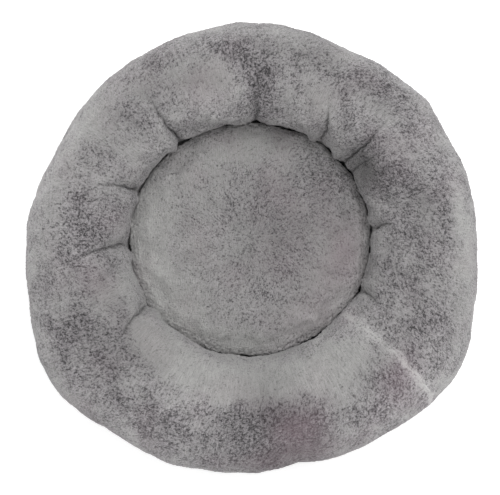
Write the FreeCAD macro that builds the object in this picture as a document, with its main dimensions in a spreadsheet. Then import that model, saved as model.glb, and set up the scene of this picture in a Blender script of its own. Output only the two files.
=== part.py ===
"""A round pet cushion bed: a stuffed plush ring with a loose round cushion in its well.

The ring's plush cover is sewn to a round base cloth with a rim. Over part of the back the seam is a
coil zip, so that the fibre filling in its inner bag can be taken out and the cover washed. All sizes
are millimetres. +Z is up, the origin is on the floor under the middle of the bed, and the zip is
centred on +Y, the back.
"""

import FreeCAD, Part
import math
import os

import Sketcher

SIZES = {
    # overall
    "bed_diameter": 600.0,
    "bolster_height": 170.0,
    "well_diameter": 320.0,
    # section of the ring: both flanks are arcs that leave the widest point straight down
    "outer_flank_radius": 145.0,
    "inner_flank_radius": 400.0,
    # cloths and the room between layers
    "plush_thickness": 4.0,
    "bag_thickness": 0.6,
    "layer_gap": 0.3,
    "base_cloth": 1.2,
    "rim_depth": 1.6,
    "welt_diameter": 5.0,
    "piping_diameter": 4.0,
    # grip dots under the base
    "dot_height": 0.8,
    "dot_radius": 3.5,
    "dot_ring_pitch": 78.0,
    # zip
    "zip_arc": 150.0,
    "zip_centre_height": 27.0,
    "zip_half_width": 8.5,
    "tape_thickness": 0.8,
    "coil_radius": 1.3,
    "slit_width": 1.4,
    "stop_arc": 1.0,
    "stop_height": 3.0,
    # slider and pull tab
    "slider_arc": 2.6,
    "slider_plate": 1.2,
    "slider_clearance": 0.3,
    "slider_rest_gap": 0.3,
    "lip_width": 1.0,
    "bail_length": 10.0,
    "bail_leg": 1.4,
    "bail_wire_radius": 0.8,
    "tab_bore_clearance": 0.2,
    "tab_eye_wall": 0.8,
    "tab_end_gap": 0.3,
    "tab_thickness": 1.2,
    "tab_length": 18.0,
    "tab_slot_width": 3.0,
    # care label
    "label_width": 24.0,
    "label_length": 15.0,
    "label_ply": 0.3,
    "label_side": 185.0,
    # loose cushion
    "cushion_clearance": 2.0,
    "cushion_crown_height": 76.0,
    "cushion_seam_height": 34.0,
    "cushion_corner_radius": 28.0,
    "cushion_shoulder_radius": 34.0,
    "cushion_shoulder_drop": 8.0,
    "cushion_piping_diameter": 4.0,
}

# heights, radii and distances that follow from the sizes
BED_RADIUS = "(Sizes.bed_diameter / 2)"
WELL_RADIUS = "(Sizes.well_diameter / 2)"
CREST_RADIUS = f"(({BED_RADIUS} - {WELL_RADIUS}) / 2)"
RING_RADIUS = f"(({BED_RADIUS} + {WELL_RADIUS}) / 2)"
BELLY_HEIGHT = f"(Sizes.bolster_height - {CREST_RADIUS})"
FOOT_HEIGHT = "(Sizes.dot_height + Sizes.base_cloth)"
WELL_FLOOR_TOP = f"({FOOT_HEIGHT} + Sizes.base_cloth)"
ZIP_DEPTH = "(Sizes.rim_depth + Sizes.tape_thickness + Sizes.slider_plate + 2 * Sizes.slider_clearance)"
BAG_DEPTH = f"max(Sizes.plush_thickness + Sizes.layer_gap; {ZIP_DEPTH})"
FILLING_DEPTH = f"({BAG_DEPTH} + Sizes.bag_thickness + Sizes.layer_gap)"

# the zip's own axes: x out of the flank and y up along it, from a point on the flank's surface
ZIP_RISE = f"({BELLY_HEIGHT} - Sizes.zip_centre_height)"
ZIP_RUN = f"(sqrt(Sizes.outer_flank_radius ^ 2 - {ZIP_RISE} ^ 2))"
ZIP_RADIUS = f"({BED_RADIUS} - Sizes.outer_flank_radius + {ZIP_RUN})"
ZIP_TILT = f"(asin({ZIP_RISE} / Sizes.outer_flank_radius))"
TAPE_OUT = "(-Sizes.rim_depth)"
TAPE_IN = f"({TAPE_OUT} - Sizes.tape_thickness)"
COIL_TOP = f"({TAPE_OUT} + 2 * Sizes.coil_radius)"
HALF_SLIT = "(Sizes.slit_width / 2)"
COIL_SIDE = f"({HALF_SLIT} + 2 * Sizes.coil_radius)"
PLATE_LOW = f"({COIL_TOP} + Sizes.slider_clearance)"
PLATE_TOP = f"({PLATE_LOW} + Sizes.slider_plate)"
EYE_RADIUS = "(Sizes.bail_wire_radius + Sizes.tab_bore_clearance + Sizes.tab_eye_wall)"
BAR_OUT = f"({PLATE_TOP} + {EYE_RADIUS} + Sizes.tab_end_gap)"

CUSHION_RADIUS = f"({WELL_RADIUS} - Sizes.cushion_clearance - Sizes.cushion_piping_diameter)"

# places of a sketch's own origin and axes among its geometry
ORIGIN, H_AXIS, V_AXIS = -1, -1, -2
START, END, CENTRE = 1, 2, 3
COUNTER_CLOCKWISE, CLOCKWISE = 1, -1
BACK, FRONT = 90.0, -90.0

doc = FreeCAD.newDocument("pet_cushion_bed")
sheet = doc.addObject("Spreadsheet::Sheet", "Sizes")


def fill_sheet():
    """One row for each driving size: its name, and a plain number under that name as alias."""
    for row, (name, value) in enumerate(SIZES.items(), start=1):
        sheet.set(f"A{row}", name)
        sheet.set(f"B{row}", str(value))
        sheet.setAlias(f"B{row}", name)
    doc.recompute()


def size(formula):
    """The present value of a formula of the sheet's sizes, as a plain number."""
    value = sheet.evalExpression(formula)
    return float(getattr(value, "Value", value))


def new_body(label, turn_degrees=0.0):
    """An empty body, turned about the bed's upright axis."""
    body = doc.addObject("PartDesign::Body", label)
    body.Label = label
    body.Placement = FreeCAD.Placement(
        FreeCAD.Vector(), FreeCAD.Rotation(FreeCAD.Vector(0, 0, 1), turn_degrees)
    )
    return body


def origin_feature(body, role):
    """The body's own origin plane or axis with that role."""
    return next(f for f in body.Origin.OriginFeatures if f.Role == role)


def plane_sketch(body, name, role="XZ_Plane"):
    """A sketch on one of the body's own origin planes."""
    sketch = body.newObject("Sketcher::SketchObject", name)
    sketch.AttachmentSupport = [(origin_feature(body, role), "")]
    sketch.MapMode = "FlatFace"
    return sketch


def place_sketch(sketch, across, up, tilt=None):
    """Moves a sketch within its plane by two formulas, and turns it by a third."""
    if tilt is not None:
        sketch.AttachmentOffset = FreeCAD.Placement(
            FreeCAD.Vector(), FreeCAD.Rotation(FreeCAD.Vector(0, 0, 1), size(tilt))
        )
        sketch.setExpression("AttachmentOffset.Rotation.Angle", tilt)
    sketch.setExpression("AttachmentOffset.Base.x", across)
    sketch.setExpression("AttachmentOffset.Base.y", up)
    return sketch


def flank_sketch(body, name):
    """A sketch in the zip's axes: x out of the ring's outer flank, y up along it."""
    return place_sketch(
        plane_sketch(body, name), ZIP_RADIUS, "Sizes.zip_centre_height", f"-{ZIP_TILT}"
    )


def dimension(sketch, kind, geometry, point, formula):
    """Holds a point's distance from the sketch's origin to a formula of the sheet's sizes."""
    value = size(formula)
    if abs(value) < 1e-9:
        axis = V_AXIS if kind == "DistanceX" else H_AXIS
        sketch.addConstraint(Sketcher.Constraint("PointOnObject", geometry, point, axis))
        return
    if value > 0:
        index = sketch.addConstraint(
            Sketcher.Constraint(kind, ORIGIN, START, geometry, point, value)
        )
        sketch.setExpression(f"Constraints[{index}]", formula)
    else:
        index = sketch.addConstraint(
            Sketcher.Constraint(kind, geometry, point, ORIGIN, START, -value)
        )
        sketch.setExpression(f"Constraints[{index}]", f"-({formula})")


def arc_centre(first, last, axis, value):
    """The centre that is as far from both points, with one coordinate given."""
    middle, chord = (first + last) / 2, last - first
    if axis == "DistanceY":
        return FreeCAD.Vector(middle.x - (value - middle.y) * chord.y / chord.x, value, 0)
    return FreeCAD.Vector(value, middle.y - (value - middle.x) * chord.x / chord.y, 0)


def outline(sketch, corners, arcs=None):
    """A closed chain of lines and arcs through corners, each a pair of formulas.

    arcs holds, for the stretch from corner number to the next, which way it turns, which coordinate
    of its centre is held, and the formula for it. A corner whose formula is None is left to the
    stretches that meet there.
    """
    arcs = arcs or {}
    places = [FreeCAD.Vector(size(x), size(y), 0) for x, y in corners]
    stretches = []
    for number, first in enumerate(places):
        last = places[(number + 1) % len(places)]
        if number not in arcs:
            stretches.append((sketch.addGeometry(Part.LineSegment(first, last)), START, END))
            continue
        turn, axis, formula = arcs[number]
        centre = arc_centre(first, last, axis, size(formula))
        begin, finish = (first, last) if turn == COUNTER_CLOCKWISE else (last, first)
        circle = Part.Circle(centre, FreeCAD.Vector(0, 0, 1), (first - centre).Length)
        arc = Part.ArcOfCircle(
            circle,
            math.atan2(begin.y - centre.y, begin.x - centre.x),
            math.atan2(finish.y - centre.y, finish.x - centre.x),
        )
        ends = (START, END) if turn == COUNTER_CLOCKWISE else (END, START)
        stretches.append((sketch.addGeometry(arc), *ends))
    for number, (geometry, begin, _) in enumerate(stretches):
        before, _, finish = stretches[number - 1]
        sketch.addConstraint(Sketcher.Constraint("Coincident", before, finish, geometry, begin))
    for (geometry, begin, _), (across, up) in zip(stretches, corners):
        dimension(sketch, "DistanceX", geometry, begin, across)
        dimension(sketch, "DistanceY", geometry, begin, up)
    for number, (_, axis, formula) in arcs.items():
        dimension(sketch, axis, stretches[number][0], CENTRE, formula)


def box_outline(sketch, low_x, high_x, low_y, high_y):
    """A rectangle between four formulas."""
    outline(sketch, [(low_x, low_y), (high_x, low_y), (high_x, high_y), (low_x, high_y)])


def circle_outline(sketch, across, up, radius):
    """A circle with its centre and radius held by formulas."""
    place = FreeCAD.Vector(size(across), size(up), 0)
    circle = Part.Circle(place, FreeCAD.Vector(0, 0, 1), size(radius))
    geometry = sketch.addGeometry(circle)
    dimension(sketch, "DistanceX", geometry, CENTRE, across)
    dimension(sketch, "DistanceY", geometry, CENTRE, up)
    index = sketch.addConstraint(Sketcher.Constraint("Radius", geometry, size(radius)))
    sketch.setExpression(f"Constraints[{index}]", radius)


def turned(body, sketch, arc=None, kind="PartDesign::Revolution"):
    """Carries a sketch round the body's upright axis: all the way, or by arc, half to each side."""
    feature = body.newObject(kind, f"{body.Label}_{kind.split('::')[1]}")
    feature.Profile = sketch
    feature.ReferenceAxis = (origin_feature(body, "Z_Axis"), [""])
    feature.Angle = 360.0
    if arc is not None:
        feature.Midplane = True
        feature.setExpression("Angle", arc)
    sketch.Visibility = False
    return feature


def groove(body, sketch, arc=None):
    """Cuts a sketch away round the body's upright axis."""
    return turned(body, sketch, arc, "PartDesign::Groove")


def extruded(body, sketch, length, kind="PartDesign::Pad"):
    """Carries a sketch straight out of its plane, half to each side."""
    feature = body.newObject(kind, f"{body.Label}_{kind.split('::')[1]}")
    feature.Profile = sketch
    feature.Midplane = True
    feature.setExpression("Length", length)
    sketch.Visibility = False
    return feature


# ---- the ring -----------------------------------------------------------------------------------


def flank_foot(side, depth, foot):
    """How far out the ring's flank is at height foot, depth under its surface."""
    radius = f"(Sizes.{side}_flank_radius - {depth})"
    run = f"sqrt({radius} ^ 2 - ({BELLY_HEIGHT} - {foot}) ^ 2)"
    if side == "outer":
        return f"({BED_RADIUS} - Sizes.outer_flank_radius + {run})"
    return f"({WELL_RADIUS} + Sizes.inner_flank_radius - {run})"


def ring_corners(depth, foot):
    """The ring's section, depth under its surface, from its outer foot over the top."""
    return [
        (flank_foot("outer", depth, foot), foot),
        (f"({BED_RADIUS} - {depth})", BELLY_HEIGHT),
        (f"({WELL_RADIUS} + {depth})", BELLY_HEIGHT),
        (flank_foot("inner", depth, foot), foot),
    ]


def ring_section(sketch, depth, foot):
    """A closed section: outer flank, round crest, inner flank and a flat bottom."""
    arcs = {n: (COUNTER_CLOCKWISE, "DistanceY", BELLY_HEIGHT) for n in range(3)}
    outline(sketch, ring_corners(depth, foot), arcs)


def bolster_cover():
    """The plush cover: a shell that is open below, trimmed above the rim and cut out for the zip."""
    body = new_body("bolster_cover", BACK)
    section = plane_sketch(body, "cover_section")
    corners = ring_corners("0", FOOT_HEIGHT)
    corners += ring_corners("Sizes.plush_thickness", FOOT_HEIGHT)[::-1]
    arcs = {n: (COUNTER_CLOCKWISE, "DistanceY", BELLY_HEIGHT) for n in (0, 1, 2)}
    arcs.update({n: (CLOCKWISE, "DistanceY", BELLY_HEIGHT) for n in (4, 5, 6)})
    outline(section, corners, arcs)
    turned(body, section)
    reach = "(4 * Sizes.plush_thickness)"
    edge = "(Sizes.piping_diameter - Sizes.zip_half_width)"
    trim = flank_sketch(body, "cover_trim")
    box_outline(trim, f"-{reach}", reach, f"(-2 * Sizes.zip_centre_height)", edge)
    groove(body, trim)
    half = "Sizes.zip_half_width"
    notch = flank_sketch(body, "zip_notch")
    box_outline(notch, f"-{reach}", reach, f"-{half}", half)
    groove(body, notch, "Sizes.zip_arc")
    return body


def bolster_bag():
    """The thin inner bag that holds the filling."""
    body = new_body("bolster_bag")
    outside = plane_sketch(body, "bag_outside")
    ring_section(outside, BAG_DEPTH, FOOT_HEIGHT)
    turned(body, outside)
    inside = plane_sketch(body, "bag_inside")
    floor = f"({FOOT_HEIGHT} + Sizes.bag_thickness)"
    ring_section(inside, f"({BAG_DEPTH} + Sizes.bag_thickness)", floor)
    groove(body, inside)
    return body


def bolster_filling():
    """The ring of polyester fibre in the bag."""
    body = new_body("bolster_filling")
    section = plane_sketch(body, "filling_section")
    ring_section(section, FILLING_DEPTH, f"({FOOT_HEIGHT} + Sizes.bag_thickness)")
    turned(body, section)
    return body


# ---- the base -----------------------------------------------------------------------------------


def disc(label, radius, low, high):
    """A round flat panel between two heights."""
    body = new_body(label)
    section = plane_sketch(body, f"{label}_section")
    box_outline(section, "0", radius, low, high)
    turned(body, section)
    return body


def base_sheet():
    """The coated base cloth under the whole bed."""
    radius = flank_foot("outer", "Sizes.rim_depth", FOOT_HEIGHT)
    return disc("base_sheet", radius, "Sizes.dot_height", FOOT_HEIGHT)


def well_floor():
    """The lining panel on the base cloth that the cushion rests on."""
    foot = flank_foot("inner", "0", FOOT_HEIGHT)
    radius = f"({foot} - 1.2 * Sizes.welt_diameter)"
    return disc("well_floor", radius, FOOT_HEIGHT, WELL_FLOOR_TOP)


def base_rim():
    """The band of base cloth that turns up the outer flank to the zip and the piping."""
    body = new_body("base_rim")
    section = plane_sketch(body, "rim_section")
    top = "Sizes.zip_centre_height"
    corners = []
    for depth in ("Sizes.rim_depth", "(Sizes.rim_depth + Sizes.base_cloth)"):
        corners += [(flank_foot("outer", depth, h), h) for h in (FOOT_HEIGHT, top)]
    corners = [corners[0], corners[1], corners[3], corners[2]]
    arcs = {0: (COUNTER_CLOCKWISE, "DistanceY", BELLY_HEIGHT)}
    arcs[2] = (CLOCKWISE, "DistanceY", BELLY_HEIGHT)
    outline(section, corners, arcs)
    turned(body, section)
    trim = flank_sketch(body, "rim_trim")
    reach = "(2 * Sizes.plush_thickness)"
    box_outline(trim, f"-{reach}", reach, "-Sizes.zip_half_width", reach)
    groove(body, trim)
    return body


def welt():
    """The corded seam at the ring's inner foot, round the well's floor."""
    body = new_body("inner_welt")
    section = plane_sketch(body, "welt_section")
    half = "(Sizes.welt_diameter / 2)"
    middle = f"({FOOT_HEIGHT} + {half})"
    circle_outline(section, flank_foot("inner", f"-{half}", middle), middle, half)
    turned(body, section)
    return body


def rim_piping():
    """The piping in the sewn part of the outer seam, between the rim and the plush."""
    body = new_body("rim_piping", FRONT)
    section = flank_sketch(body, "piping_section")
    half = "(Sizes.piping_diameter / 2)"
    circle_outline(section, f"-{half}", f"({half} - Sizes.zip_half_width)", half)
    turned(body, section, "(360 - Sizes.zip_arc)")
    return body


def grip_dots():
    """The grip dots under the base: one in the middle and rings of them round it."""
    body = new_body("grip_dots")
    body.AllowCompound = True
    middle = plane_sketch(body, "middle_dot", "XY_Plane")
    circle_outline(middle, "0", "0", "Sizes.dot_radius")
    pad = body.newObject("PartDesign::Pad", "middle_dot_pad")
    pad.Profile = middle
    pad.setExpression("Length", "Sizes.dot_height")
    rings = int(size(f"floor(({flank_foot('outer', '0', '0')} - 2 * Sizes.dot_radius)"
                     " / Sizes.dot_ring_pitch)"))
    for ring in range(1, rings + 1):
        sketch = plane_sketch(body, f"dot_of_ring_{ring}", "XY_Plane")
        circle_outline(sketch, f"({ring} * Sizes.dot_ring_pitch)", "0", "Sizes.dot_radius")
        pad = body.newObject("PartDesign::Pad", f"dot_pad_{ring}")
        pad.Profile = sketch
        pad.setExpression("Length", "Sizes.dot_height")
        pattern = body.newObject("PartDesign::PolarPattern", f"dot_ring_{ring}")
        pattern.Originals = [pad]
        pattern.Axis = (origin_feature(body, "Z_Axis"), [""])
        pattern.Angle = 360.0
        pattern.Occurrences = 6 * ring
        body.Tip = pattern
    return body


def care_label():
    """A blank label that hangs from the outer seam: two plies that meet in a fold at the bottom."""
    body = new_body("care_label", size("Sizes.label_side"))
    section = flank_sketch(body, "label_section")
    top = "(Sizes.piping_diameter / 2 - Sizes.zip_half_width)"
    low = f"({top} - Sizes.label_length)"
    ply = "Sizes.label_ply"
    fold = f"({low} + {ply})"
    inner_ply = [("0", top), ("0", low)]
    outer_ply = [(f"(3 * {ply})", low), (f"(3 * {ply})", top), (f"(2 * {ply})", top)]
    between = [(f"(2 * {ply})", fold), (ply, fold), (ply, top)]
    outline(section, inner_ply + outer_ply + between)
    extruded(body, section, "Sizes.label_width")
    return body


# ---- the zip ------------------------------------------------------------------------------------


def zip_tape(label, side):
    """One of the zip's tapes, from its slit to the cloth it is sewn to. side is 1 above, -1 below."""
    body = new_body(label, BACK)
    section = flank_sketch(body, f"{label}_section")
    edges = [HALF_SLIT, "Sizes.zip_half_width"]
    if side < 0:
        edges = [f"-{edges[1]}", f"-{edges[0]}"]
    box_outline(section, TAPE_IN, TAPE_OUT, *edges)
    turned(body, section, "Sizes.zip_arc")
    return body


def zip_coil(label, side):
    """One of the zip's coils, on its tape beside the slit, between the end stops."""
    body = new_body(label, BACK)
    section = flank_sketch(body, f"{label}_section")
    up = f"({side} * ({HALF_SLIT} + Sizes.coil_radius))"
    circle_outline(section, f"({TAPE_OUT} + Sizes.coil_radius)", up, "Sizes.coil_radius")
    turned(body, section, "(Sizes.zip_arc - 2 * Sizes.stop_arc)")
    return body


def zip_end_stops():
    """The two stops that close the zip's ends, one solid at each."""
    body = new_body("zip_end_stops", BACK)
    body.AllowCompound = True
    for number, kind in enumerate(("PartDesign::Revolution", "PartDesign::Groove")):
        section = flank_sketch(body, f"stop_section_{number}")
        top = f"({TAPE_OUT} + Sizes.stop_height)"
        box_outline(section, TAPE_OUT, top, f"-{COIL_SIDE}", COIL_SIDE)
        turned(body, section, f"(Sizes.zip_arc - {2 * number} * Sizes.stop_arc)", kind)
    return body


def slider_turn():
    """Where the slider stands round the bed at rest, in degrees: beside the stop it closes on."""
    return BACK + size(
        "Sizes.zip_arc / 2 - Sizes.stop_arc - Sizes.slider_arc / 2 - Sizes.slider_rest_gap"
    )


def zip_slider():
    """The slider: a lipped outer plate and an inner plate joined through the slit, and a bail."""
    body = new_body("zip_slider", slider_turn())
    section = flank_sketch(body, "slider_section")
    clearance = "Sizes.slider_clearance"
    web = f"({HALF_SLIT} - {clearance})"
    side = f"({COIL_SIDE} + {clearance})"
    lip = f"({side} + Sizes.lip_width)"
    lip_end = f"({TAPE_OUT} + 2 * {clearance})"
    under_top = f"({TAPE_IN} - {clearance})"
    under_low = f"({under_top} - Sizes.slider_plate)"
    lower = [
        (under_low, f"-{lip}"),
        (under_top, f"-{lip}"),
        (under_top, f"-{web}"),
        (PLATE_LOW, f"-{web}"),
        (PLATE_LOW, f"-{side}"),
        (lip_end, f"-{side}"),
        (lip_end, f"-{lip}"),
        (PLATE_TOP, f"-{lip}"),
    ]
    upper = [(x, y[1:]) for x, y in reversed(lower)]
    outline(section, lower + upper)
    turned(body, section, "Sizes.slider_arc")
    legs = flank_sketch(body, "bail_legs")
    wire = "Sizes.bail_wire_radius"
    box_outline(legs, f"({PLATE_TOP} - {clearance})", BAR_OUT, f"-{wire}", wire)
    extruded(body, legs, "Sizes.bail_length")
    gap = flank_sketch(body, "bail_gap")
    far = f"({BAR_OUT} + {wire})"
    box_outline(gap, PLATE_TOP, far, f"(-2 * {wire})", f"(2 * {wire})")
    extruded(body, gap, "(Sizes.bail_length - 2 * Sizes.bail_leg)", "PartDesign::Pocket")
    bar = flank_sketch(body, "bail_bar")
    circle_outline(bar, BAR_OUT, "0", wire)
    extruded(body, bar, "Sizes.bail_length")
    return body


def bar_place():
    """Formulas for the bail bar's distance from the upright axis and its height."""
    return (
        f"({ZIP_RADIUS} + {BAR_OUT} * cos({ZIP_TILT}))",
        f"(Sizes.zip_centre_height - {BAR_OUT} * sin({ZIP_TILT}))",
    )


def zip_pull_tab():
    """The pull tab, hanging straight down from the bail's bar by a rolled eye."""
    body = new_body("zip_pull_tab", slider_turn())
    width = "(Sizes.bail_length - 2 * Sizes.bail_leg - 2 * Sizes.tab_end_gap)"
    half = "(Sizes.tab_thickness / 2)"
    blade = place_sketch(plane_sketch(body, "tab_blade"), *bar_place())
    box_outline(blade, f"-{half}", half, "-Sizes.tab_length", "0")
    extruded(body, blade, width)
    eye = place_sketch(plane_sketch(body, "tab_eye"), *bar_place())
    circle_outline(eye, "0", "0", EYE_RADIUS)
    extruded(body, eye, width)
    bore = place_sketch(plane_sketch(body, "tab_bore"), *bar_place())
    hole = "(Sizes.bail_wire_radius + Sizes.tab_bore_clearance)"
    circle_outline(bore, "0", "0", hole)
    extruded(body, bore, f"(2 * {width})", "PartDesign::Pocket")
    slot = place_sketch(plane_sketch(body, "tab_slot"), *bar_place())
    low = "(-Sizes.tab_length + Sizes.tab_slot_width)"
    box_outline(slot, f"(-2 * {half})", f"(2 * {half})", low, f"(-2 * {EYE_RADIUS})")
    extruded(body, slot, "Sizes.tab_slot_width", "PartDesign::Pocket")
    return body


# ---- the loose cushion --------------------------------------------------------------------------


def cushion_half(depth, upper, floor):
    """Corners and arcs of the cushion's upper or lower half, depth under its surface.

    The upper half runs from the seam over a round shoulder and a long low dome to the middle. The
    lower half runs from the middle over a flat bottom and a round corner to the seam.
    """
    side = f"({CUSHION_RADIUS} - {depth})"
    if not upper:
        corner = f"({CUSHION_RADIUS} - Sizes.cushion_corner_radius)"
        corners = [("0", floor), (corner, floor), (side, "Sizes.cushion_seam_height")]
        return corners, {1: (COUNTER_CLOCKWISE, "DistanceY", "Sizes.cushion_seam_height")}
    shoulder = f"({CUSHION_RADIUS} - Sizes.cushion_shoulder_radius)"
    shoulder_top = f"(Sizes.cushion_crown_height - Sizes.cushion_shoulder_drop - {depth})"
    crown = f"(Sizes.cushion_crown_height - {depth})"
    corners = [(side, "Sizes.cushion_seam_height"), (shoulder, shoulder_top), ("0", crown)]
    return corners, {
        0: (COUNTER_CLOCKWISE, "DistanceY", "Sizes.cushion_seam_height"),
        1: (COUNTER_CLOCKWISE, "DistanceX", "0"),
    }


def cushion_shell(label, upper, outer_depth, inner_depth, outer_floor="0", inner_floor="0"):
    """A shell between two depths under the cushion's surface, over its upper or lower half."""
    body = new_body(label)
    section = plane_sketch(body, f"{label}_section")
    outside, arcs = cushion_half(outer_depth, upper, outer_floor)
    inside, inner_arcs = cushion_half(inner_depth, upper, inner_floor)
    last = len(outside) + len(inside) - 2
    arcs = dict(arcs)
    for number, (_, axis, formula) in inner_arcs.items():
        arcs[last - number] = (CLOCKWISE, axis, formula)
    outline(section, outside + inside[::-1], arcs)
    turned(body, section)
    return body


def cushion_top_panel():
    """The cushion's plush top, crowned, down to the seam round its middle."""
    return cushion_shell("cushion_top_panel", True, "0", "Sizes.plush_thickness")


def cushion_bottom_panel():
    """The cushion's cloth underside, up to the seam."""
    inner_floor = f"({WELL_FLOOR_TOP} + Sizes.base_cloth)"
    return cushion_shell(
        "cushion_bottom_panel", False, "0", "Sizes.base_cloth", WELL_FLOOR_TOP, inner_floor
    )


def cushion_filling():
    """The cushion's fibre filling."""
    body = new_body("cushion_filling")
    section = plane_sketch(body, "cushion_filling_section")
    depth = "(Sizes.plush_thickness + Sizes.layer_gap)"
    floor = f"({WELL_FLOOR_TOP} + Sizes.base_cloth)"
    lower, lower_arcs = cushion_half(depth, False, floor)
    upper, upper_arcs = cushion_half(depth, True, floor)
    corners = lower + upper[1:]
    arcs = dict(lower_arcs)
    arcs.update({number + len(lower) - 1: arc for number, arc in upper_arcs.items()})
    outline(section, corners, arcs)
    turned(body, section)
    return body


def cushion_piping():
    """The piping round the cushion's seam, against the outside of both panels."""
    body = new_body("cushion_piping")
    section = plane_sketch(body, "cushion_piping_section")
    half = "(Sizes.cushion_piping_diameter / 2)"
    circle_outline(section, f"({CUSHION_RADIUS} + {half})", "Sizes.cushion_seam_height", half)
    turned(body, section)
    return body


def check(objects, bodies):
    """Stops with a message if a feature failed or a sub-part isn't a sound closed solid."""
    failed = [o.Label for o in objects if "Invalid" in o.State or "Error" in o.State]
    if failed:
        raise RuntimeError(f"these objects failed to recompute: {failed}")
    for body in bodies:
        shape = body.Shape
        if shape.isNull() or not shape.isValid() or not shape.Solids or shape.Volume <= 0:
            raise RuntimeError(f"{body.Label} is not a sound solid")


def main():
    fill_sheet()
    bodies = [
        bolster_cover(),
        bolster_bag(),
        bolster_filling(),
        base_sheet(),
        base_rim(),
        well_floor(),
        welt(),
        rim_piping(),
        grip_dots(),
        care_label(),
        zip_tape("zip_tape_upper", 1),
        zip_tape("zip_tape_lower", -1),
        zip_coil("zip_coil_upper", 1),
        zip_coil("zip_coil_lower", -1),
        zip_end_stops(),
        zip_slider(),
        zip_pull_tab(),
        cushion_top_panel(),
        cushion_bottom_panel(),
        cushion_filling(),
        cushion_piping(),
    ]
    doc.recompute()
    check(doc.Objects, bodies)
    os.makedirs("parts", exist_ok=True)
    for body in bodies:
        body.Shape.exportStep(f"parts/{body.Label}.step")
        print(f"{body.Label}: {len(body.Shape.Solids)} solid(s), {body.Shape.Volume:.0f} mm3")
    radius, height = (size(formula) for formula in bar_place())
    print(f"slider at {slider_turn():.2f} degrees, bail bar at radius {radius:.3f}, height {height:.3f}")
    print(f"zip tilt {size(ZIP_TILT):.3f} degrees, zip radius {size(ZIP_RADIUS):.3f}")


main()
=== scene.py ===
"""The looks of a round pet cushion bed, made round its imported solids.

A stuffed plush ring with tucks round its well, a loose plush cushion in the well, a base cloth with
rim, piping and grip dots, and a coil zip with its slider round the back. Shapes are worked out in
millimetres in the part's own frame, and put into meshes in metres.
"""

import math

import bpy
import numpy as np
from bpy.props import FloatProperty, FloatVectorProperty, IntProperty, PointerProperty
from bpy.types import Operator, Panel, PropertyGroup
from mathutils import Matrix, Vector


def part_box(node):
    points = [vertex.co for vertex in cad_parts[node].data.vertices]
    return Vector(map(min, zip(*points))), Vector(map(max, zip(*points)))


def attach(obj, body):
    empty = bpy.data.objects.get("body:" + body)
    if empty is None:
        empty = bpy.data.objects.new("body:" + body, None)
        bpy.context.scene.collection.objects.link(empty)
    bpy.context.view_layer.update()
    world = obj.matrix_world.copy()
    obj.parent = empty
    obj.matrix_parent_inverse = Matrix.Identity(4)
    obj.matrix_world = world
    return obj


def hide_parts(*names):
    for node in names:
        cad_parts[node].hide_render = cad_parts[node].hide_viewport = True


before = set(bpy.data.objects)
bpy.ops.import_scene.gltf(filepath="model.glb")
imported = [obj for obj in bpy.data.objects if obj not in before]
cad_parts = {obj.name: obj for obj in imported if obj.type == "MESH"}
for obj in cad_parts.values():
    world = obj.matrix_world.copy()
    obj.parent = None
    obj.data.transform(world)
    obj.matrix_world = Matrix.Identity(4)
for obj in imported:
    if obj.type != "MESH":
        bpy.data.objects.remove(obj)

bl_info = {
    "name": "Pet cushion bed",
    "version": (1, 0, 0),
    "blender": (4, 5, 0),
    "location": "View3D > Sidebar > Pet bed",
    "description": "Makes the plush, cloth, piping and zip of a round pet cushion bed",
    "category": "Object",
}

MM = 0.001
FULL_TURN = 2 * math.pi
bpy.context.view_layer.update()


def reach_mm(node):
    """How far a round node reaches from the upright axis, in millimetres."""
    low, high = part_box(node)
    return (high[0] - low[0]) / 2 / MM


def top_mm(node):
    """How high a node reaches, in millimetres."""
    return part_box(node)[1][2] / MM


# The ring's section, as the solids have it: the flanks are arcs that start at the widest point.
BED_RADIUS = reach_mm("bolster_cover")
CREST = top_mm("bolster_cover")
FLOOR_TOP = top_mm("base_sheet")
WELL_FLOOR_TOP = top_mm("well_floor")
THROAT_RADIUS = 160.0
CREST_RADIUS = (BED_RADIUS - THROAT_RADIUS) / 2
RING_RADIUS = (BED_RADIUS + THROAT_RADIUS) / 2
BELLY = CREST - CREST_RADIUS
OUTER_FLANK = 145.0
INNER_FLANK = 400.0
INSIDE_DEPTH = 4.7
ZIP_HEIGHT = 27.0
ZIP_HALF_ARC = math.radians(75)
ZIP_MIDDLE = math.radians(90)
ZIP_FIRST, ZIP_LAST = ZIP_MIDDLE - ZIP_HALF_ARC, ZIP_MIDDLE + ZIP_HALF_ARC
ZIP_HALF_WIDTH = 8.5
FLANK_TILT = math.asin((BELLY - ZIP_HEIGHT) / OUTER_FLANK)
PIPING = 4.0
RIM_DEPTH = 1.6
FOOT = FLOOR_TOP + 0.4
LABEL_ANGLE = math.radians(185)

# The camera looks straight down from here, and sees this width at the height of the ring's widest place.
EYE_HEIGHT = 2.3
VIEW_WIDTH = 0.6625
SENSOR_WIDTH = 36.0

# The cushion's section: its widest radius, the radius of its shoulder, how far its dome falls from the
# middle to the shoulder, the height of its seam, and the height and radius of its flat base.
PAD_EDGE, PAD_SHOULDER, PAD_FALL = 156.0, 12.0, 5.0
PAD_SEAM, PAD_FOOT, PAD_FLAT = 37.0, 6.0, 126.3

# Rows round the ring's section: over the top from seam to inner foot, along the base, up inside. Then
# the finished plush's: how many all the way round the bed, and how many down the part that shows.
TOP_ROWS, BASE_ROWS, INSIDE_ROWS = 90, 6, 8
SECTION_ROWS = TOP_ROWS + BASE_ROWS + INSIDE_ROWS
FINE_TURNS, FINE_TOP = 1080, 250

# The cushion's rows: round it, down the part that shows, and held at its foot. Then the finished plush's.
PAD_TURNS, PAD_TOP_ROWS, PAD_HELD_ROWS = 200, 76, 22
FINE_PAD_TURNS, FINE_PAD_TOP = 640, 118

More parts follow.
